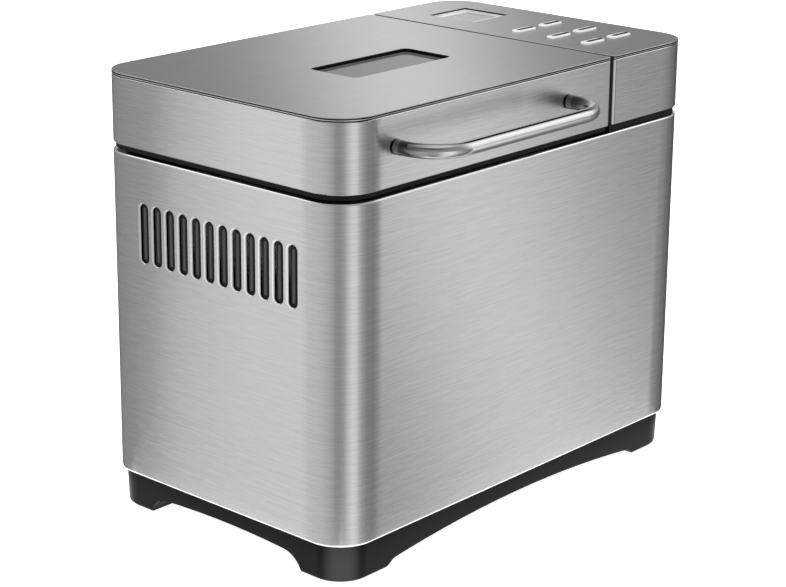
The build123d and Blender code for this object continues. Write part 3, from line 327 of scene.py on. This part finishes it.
# painted shade: dark collars, black where they meet the lid, standing in for the shadow where the tube meets the lid
collar_shaded = satin_metal("steel_collar_painted_shade", (0.30, 0.30, 0.302), 0.20, shaded_span=(-0.0934, -0.0930, (0.004, 0.004, 0.004)))
black = plastic("black_moulding", (0.004, 0.004, 0.0043), rough=0.42, spec=0.09)
black_base = plastic("black_base", (0.004, 0.004, 0.0043), rough=0.42, spec=0.09)
black_rim = plastic("black_rim", (0.006, 0.006, 0.0063), rough=0.42, spec=0.2)
vent_bars = plastic("vent_bars", (0.10, 0.10, 0.101), rough=0.55, spec=0.4)
rubber = plastic("rubber", (0.02, 0.02, 0.02), rough=0.8, spec=0.3)
silicone = plastic("silicone", (0.30, 0.30, 0.31), rough=0.6, spec=0.35)
bezel = plastic("bezel_pale", (0.86, 0.865, 0.865), rough=0.45, second=(2, 0.2905 + LIFT, (0.004, 0.004, 0.004)))
display = plastic("display_grey", (0.34, 0.348, 0.344), rough=0.25, bump_s=0.05)
window = glass("window_glass", (0.128, 0.130, 0.130), rough=0.05, alpha=0.9, spec=0.16)
clear = glass("clear_lens", (0.85, 0.85, 0.85), alpha=0.10)
alu = satin_metal("aluminium_pressed", (0.74, 0.74, 0.75), 0.32)
oven = satin_metal("aluminised_sheet", (0.56, 0.56, 0.56), 0.38, scale=40.0)
zinc = satin_metal("zinc_plated", (0.55, 0.55, 0.54), 0.34)
shaft = satin_metal("ground_steel", (0.68, 0.68, 0.69), 0.18)
cast = satin_metal("cast_aluminium", (0.56, 0.56, 0.56), 0.5, bump_s=0.2)
heater = satin_metal("heater_sheath", (0.20, 0.19, 0.18), 0.45)
bronze = satin_metal("sintered_bronze", (0.52, 0.36, 0.18), 0.45, bump_s=0.15)
nonstick = plastic("nonstick_coat", (0.075, 0.075, 0.079), rough=0.38, grain=0.0012, bump_s=0.15)
board = plastic("circuit_board", (0.03, 0.16, 0.06), rough=0.4, spread=0.3)
motor_paint = plastic("motor_lacquer", (0.10, 0.10, 0.105), rough=0.4)
cap_box = plastic("capacitor_box", (0.05, 0.05, 0.06), rough=0.4)
pulley = plastic("pulley_plastic", (0.03, 0.03, 0.03), rough=0.5)


def key_material():
    """Silver key: bright rim; the recessed middle channel and the top past its right end are painted near black, a
    painted shade.
    """
    mat, nt, b = new_mat("key_silver")
    n1 = noise(nt, coords(nt, (900.0, 900.0, 900.0)), 1.0, 2.0, 0.5)
    rim = ramp(nt, n1, [(0.3, (0.86, 0.86, 0.86)), (0.7, (0.90, 0.90, 0.90))])
    x, y, z = place(nt)[0:3]
    across = None
    for ky in (0.0070, -0.0234, -0.0524):
        one = between(nt, y, ky - 0.00183, ky + 0.00183)
        across = one if across is None else math_node(nt, "ADD", across, one)
    along = math_node(nt, "ADD", between(nt, x, 0.1141 - 0.00665, 0.1141 + 0.00985),
                      between(nt, x, 0.1436 - 0.00665, 0.1436 + 0.00985))
    # painted shade: the key channels, and the top past their right ends, are coloured near black
    channel_shade = math_node(nt, "MULTIPLY", math_node(nt, "MULTIPLY", across, along),
                     math_node(nt, "SUBTRACT", 1.0, step(nt, z, 0.29235 + LIFT, 0.00003)))
    tail = math_node(nt, "ADD", between(nt, x, 0.1141 + 0.0094, 0.1141 + 0.0112),
                     between(nt, x, 0.1436 + 0.0094, 0.1436 + 0.0112))
    channel_shade = math_node(nt, "MAXIMUM", channel_shade, math_node(nt, "MULTIPLY", across, tail))
    nt.links.new(mix_col(nt, channel_shade, rim, (0.03, 0.03, 0.03)), b.inputs["Base Color"])
    nt.links.new(remap(nt, n1, 0.22, 0.28), b.inputs["Roughness"])
    b.inputs["Metallic"].default_value = 0.0
    b.inputs["Specular IOR Level"].default_value = 0.6
    nt.links.new(bump(nt, n1, 0.03, 0.00003), b.inputs["Normal"])
    return mat


key_mat = key_material()

def shaded_flanks(mat, shift, half):
    """Painted shade: only the outer ridge of each bar behind the air slots keeps its grey; the rest is coloured near
    black, as if in the slots' shadow.
    """
    nt = mat.node_tree
    b = next(n for n in nt.nodes if n.type == "BSDF_PRINCIPLED")
    old = b.inputs["Base Color"].links[0].from_socket
    ridge = math_node(nt, "SUBTRACT", 1.0, step(nt, from_slot(nt, shift), half, 0.0004))
    front = math_node(nt, "SUBTRACT", 1.0, step(nt, place(nt)[0], -0.17395, 0.00005))
    nt.links.new(mix_col(nt, math_node(nt, "MULTIPLY", ridge, front), (0.002, 0.002, 0.002), old), b.inputs["Base Color"])


# painted shade: the flanks of the bars behind the air slots are near black
shaded_flanks(vent_bars, -0.0011, 0.0011)


def painted_corner_sheen(mat, shade):
    """Moulded base: its four upright corners are painted a little lighter, a painted sheen."""
    nt = mat.node_tree
    b = next(n for n in nt.nodes if n.type == "BSDF_PRINCIPLED")
    old = b.inputs["Base Color"].links[0].from_socket
    x, y, z = place(nt)[0:3]

    def past(value, half):
        size = node(nt, "ShaderNodeMath", operation="ABSOLUTE")
        nt.links.new(value, size.inputs[0])
        return math_node(nt, "MAXIMUM", math_node(nt, "SUBTRACT", size.outputs[0], half - CORNER), 0.00001)

    u = past(x, BODY_X)
    v = past(math_node(nt, "SUBTRACT", y, MID_Y), BODY_Y)
    top = math_node(nt, "MULTIPLY", math_node(nt, "MULTIPLY", u, v), 2.0)
    low = math_node(nt, "ADD", math_node(nt, "MULTIPLY", u, u), math_node(nt, "MULTIPLY", v, v))
    mid = step(nt, math_node(nt, "DIVIDE", top, low), 0.62, 0.38)
    nt.links.new(mix_col(nt, mid, old, shade), b.inputs["Base Color"])


# painted sheen: the four corners of the base are coloured lighter
painted_corner_sheen(black_base, (0.085, 0.085, 0.086))

use = {
    steel_side: ["housing_sleeve", "sleeve_back", "lid_shell", "panel_shell"],
    steel_top: ["lid_top_plate", "panel_top_plate"],
    handle_steel: ["handle_bar"],
    collar_shaded: ["handle_collars"],
    black_base: ["base"],
    black: ["top_frame", "window_frame", "cord_bushing", "hinge_brackets"],
    black_rim: ["lid_rim", "panel_frame"],
    vent_bars: ["vent_grille"],
    rubber: ["rubber_feet", "motor_mounts", "drive_belt"],
    silicone: ["lid_gasket"],
    key_mat: ["key_program", "key_crust", "key_size", "key_up", "key_down", "key_start"],
    bezel: ["lcd_holder"],
    display: ["lcd_display"],
    window: ["window_glass", "window_inner_glass"],
    clear: ["lcd_lens"],
    alu: ["lid_liner"],
    oven: ["oven_chamber"],
    zinc: ["chassis_plate", "heater_brackets", "pan_clips", "temperature_probe", "case_screws",
           "handle_screws", "hinge_pins", "pan_ears", "pan_bail"],
    shaft: ["pan_shaft", "drive_shaft", "motor_shaft"],
    cast: ["pan_base_ring", "pan_coupling", "drive_coupling", "bearing_housing", "motor_pulley"],
    heater: ["heating_element"],
    bronze: ["shaft_bush", "drive_bushes"],
    nonstick: ["bread_pan", "kneading_paddle"],
    board: ["control_board", "power_board"],
    motor_paint: ["motor_body"],
    cap_box: ["motor_capacitor"],
    pulley: ["drive_pulley"],
}
for mat, names in use.items():
    for n in names:
        me = nodes[n].data
        me.materials.clear()
        me.materials.append(mat)

# ------------------------------------------------------------------ studio
world = bpy.data.worlds.new("studio")
scene.world = world
world.use_nodes = True
nt = world.node_tree
nt.nodes.clear()
out = node(nt, "ShaderNodeOutputWorld")
bg_light = node(nt, "ShaderNodeBackground")
bg_back = node(nt, "ShaderNodeBackground")
bg_back.inputs["Color"].default_value = (1, 1, 1, 1)
mix = node(nt, "ShaderNodeMixShader")
lp = node(nt, "ShaderNodeLightPath")
nt.links.new(lp.outputs["Is Camera Ray"], mix.inputs["Fac"])
nt.links.new(bg_light.outputs[0], mix.inputs[1])
nt.links.new(bg_back.outputs[0], mix.inputs[2])
nt.links.new(mix.outputs[0], out.inputs["Surface"])
tc = node(nt, "ShaderNodeTexCoord")
sep = node(nt, "ShaderNodeSeparateXYZ")
nt.links.new(tc.outputs["Generated"], sep.inputs[0])
az = math_node(nt, "ARCTAN2", sep.outputs["Y"], sep.outputs["X"])
el = node(nt, "ShaderNodeMath", operation="ARCSINE")
nt.links.new(sep.outputs["Z"], el.inputs[0])
el = el.outputs[0]


def bell(x):
    q = math_node(nt, "MULTIPLY", math_node(nt, "MULTIPLY", x, x), -0.5)
    e = node(nt, "ShaderNodeMath", operation="EXPONENT")
    nt.links.new(q, e.inputs[0])
    return e.outputs[0]


def rise(value, lo, hi, gain=1.0):
    m = node(nt, "ShaderNodeMapRange", interpolation_type="SMOOTHSTEP")
    m.inputs["From Min"].default_value = lo
    m.inputs["From Max"].default_value = hi
    m.inputs["To Min"].default_value = 0.0
    m.inputs["To Max"].default_value = gain
    nt.links.new(value, m.inputs["Value"])
    return m.outputs["Result"]


def patch(centre, sigma, level, height, gain, lean=0.0):
    """A soft light at one compass direction and elevation, degrees."""
    d = math_node(nt, "SUBTRACT", az, math.radians(centre))
    up = math_node(nt, "SUBTRACT", el, math.radians(level))
    if lean:
        d = math_node(nt, "SUBTRACT", d, math_node(nt, "MULTIPLY", up, lean))
    w = node(nt, "ShaderNodeMath", operation="WRAP")
    nt.links.new(d, w.inputs[0])
    w.inputs[1].default_value = math.pi
    w.inputs[2].default_value = -math.pi
    v = bell(math_node(nt, "DIVIDE", w.outputs[0], math.radians(sigma)))
    v = math_node(nt, "MULTIPLY", v, bell(math_node(nt, "DIVIDE", up, math.radians(height))))
    return math_node(nt, "MULTIPLY", v, gain)


# light round the horizon: panels of soft light, each leaning a little, as (compass degrees, strength)
ROUND = [
    (0.0, 0.17), (18.0, 0.14), (37.0, 0.12), (62.0, 0.25), (90.0, 0.41), (112.0, 0.46), (128.0, 0.50), (130.4, 0.44),
    (131.8, 0.40), (132.9, 0.82), (133.9, 1.62), (134.7, 1.94), (135.6, 1.25), (138.0, 0.96), (163.0, 0.90), (187.0, 0.78),
    (199.0, 0.65), (210.0, 0.505), (218.0, 0.47), (232.0, 0.60), (245.0, 1.00), (256.0, 1.24), (266.0, 1.20), (281.0, 0.66),
    (294.0, 0.41), (308.0, 0.30), (316.6, 0.42), (318.4, 0.78), (321.5, 1.28), (324.6, 0.82), (326.8, 0.43), (360.0, 0.17),
]
turn = math_node(nt, "DIVIDE", az, 2.0 * math.pi)
frac = node(nt, "ShaderNodeMath", operation="FRACT")
nt.links.new(turn, frac.inputs[0])
half = math_node(nt, "SUBTRACT", math.radians(111.5), math_node(nt, "MULTIPLY", frac.outputs[0], math.pi))
lean = node(nt, "ShaderNodeMath", operation="TANGENT")
nt.links.new(half, lean.inputs[0])
cl = node(nt, "ShaderNodeClamp")
cl.inputs["Min"].default_value = -1.6
cl.inputs["Max"].default_value = 0.03
nt.links.new(lean.outputs[0], cl.inputs["Value"])
off = math_node(nt, "MULTIPLY", cl.outputs[0], math_node(nt, "ADD", el, math.radians(18.5)))
turned = math_node(nt, "SUBTRACT", frac.outputs[0], math_node(nt, "MULTIPLY", off, 0.30 / (2.0 * math.pi)))
ring = node(nt, "ShaderNodeMath", operation="FRACT")
nt.links.new(turned, ring.inputs[0])
horizon = ramp(nt, ring.outputs[0], [(d / 360.0, v) for d, v in ROUND])
bw = node(nt, "ShaderNodeRGBToBW")
nt.links.new(horizon, bw.inputs[0])

upper = math_node(nt, "ADD", patch(41.6, 2.3, 11.5, 16.0, 0.86, lean=-0.36), 0.370)     # over the top plates
upper = math_node(nt, "ADD", upper, patch(338.0, 17.0, 33.0, 13.0, 1.25))               # edges along the front, handle
upper = math_node(nt, "ADD", upper, patch(114.0, 17.0, 39.0, 13.0, 1.5))               # edges along the end
upper = math_node(nt, "ADD", upper, patch(13.0, 12.0, 38.0, 9.0, -0.55))               # dark gap between the lights
upper = math_node(nt, "ADD", upper, patch(322.0, 12.0, 11.0, 10.0, 0.72))
upper = math_node(nt, "ADD", upper, patch(216.0, 32.0, 52.0, 12.0, -0.32))              # unlit side of the room
upper = math_node(nt, "ADD", upper, rise(el, math.radians(52.0), math.radians(72.0), 0.45))
lower = math_node(nt, "MULTIPLY", bw.outputs[0], math_node(nt, "ADD", rise(el, math.radians(-39.0), math.radians(-27.0), 0.2), 0.8))
blend = rise(el, math.radians(-3.0), math.radians(7.0))
total = math_node(nt, "ADD", math_node(nt, "MULTIPLY", upper, blend),
                  math_node(nt, "MULTIPLY", lower, math_node(nt, "SUBTRACT", 1.0, blend)))
nt.links.new(total, bg_light.inputs["Strength"])

# big soft light overhead, for the plastics
sun_data = bpy.data.lights.new("overhead", "SUN")
sun_data.energy = 2.2
sun_data.angle = math.radians(70.0)
sun = bpy.data.objects.new("overhead", sun_data)
sun.rotation_euler = (math.radians(18.0), math.radians(-14.0), 0.0)
sun.visible_glossy = False
scene.collection.objects.link(sun)

# floor
bm = bmesh.new()
bmesh.ops.create_grid(bm, x_segments=8, y_segments=8, size=6.0)
me = bpy.data.meshes.new("floor")
bm.to_mesh(me)
bm.free()
floor = bpy.data.objects.new("floor", me)
scene.collection.objects.link(floor)
fmat, fnt, fb = new_mat("floor_pale")
fb.inputs["Base Color"].default_value = (0.85, 0.85, 0.85, 1)
fb.inputs["Roughness"].default_value = 0.9
fb.inputs["Specular IOR Level"].default_value = 0.0
fb.inputs["Emission Color"].default_value = (1, 1, 1, 1)
fb.inputs["Emission Strength"].default_value = 0.95
# seen from above only, so that the underside can be looked at
face = node(fnt, "ShaderNodeNewGeometry")
see_through = node(fnt, "ShaderNodeBsdfTransparent")
pick = node(fnt, "ShaderNodeMixShader")
fout = next(n for n in fnt.nodes if n.type == "OUTPUT_MATERIAL")
fnt.links.new(face.outputs["Backfacing"], pick.inputs[0])
fnt.links.new(fb.outputs[0], pick.inputs[1])
fnt.links.new(see_through.outputs[0], pick.inputs[2])
fnt.links.new(pick.outputs[0], fout.inputs["Surface"])
me.materials.append(fmat)
floor.visible_glossy = False
floor.visible_diffuse = False
floor.visible_shadow = False

# pale mat the machine stands on, seen only in the rolled lower edges
bm = bmesh.new()
bmesh.ops.create_grid(bm, x_segments=6, y_segments=6, size=0.5)
for v in bm.verts:
    v.co = Vector((v.co.x * 2 * 0.199, v.co.y * 2 * 0.132 + YC * MM, 0.0004))
me = bpy.data.meshes.new("mat")
bm.to_mesh(me)
bm.free()
card = bpy.data.objects.new("mat", me)
scene.collection.objects.link(card)
me.materials.append(fmat)
card.visible_camera = False
card.visible_diffuse = False
card.visible_shadow = False

# ------------------------------------------------------------------ camera
cam_data = bpy.data.cameras.new("camera")
cam = bpy.data.objects.new("camera", cam_data)
scene.collection.objects.link(cam)
a, e, roll = math.radians(-48.23), math.radians(16.71), math.radians(0.5)
back = Vector((math.sin(a) * math.cos(e), -math.cos(a) * math.cos(e), math.sin(e)))
right = Vector((math.cos(a), math.sin(a), 0.0))
upv = back.cross(right)
r2 = math.cos(roll) * right + math.sin(roll) * upv
u2 = -math.sin(roll) * right + math.cos(roll) * upv
rotm = Matrix((r2, u2, back)).transposed().to_4x4()
cam.matrix_world = Matrix.Translation((-1.06012, -0.93734 + 0.0155, 0.5589 + 0.022 + LIFT)) @ rotm
cam_data.sensor_fit = "HORIZONTAL"
cam_data.sensor_width = 36.0
cam_data.lens = 99.97
cam_data.shift_y = -45.0 / 786.0
cam_data.clip_start = 0.05
cam_data.clip_end = 50.0
scene.camera = cam
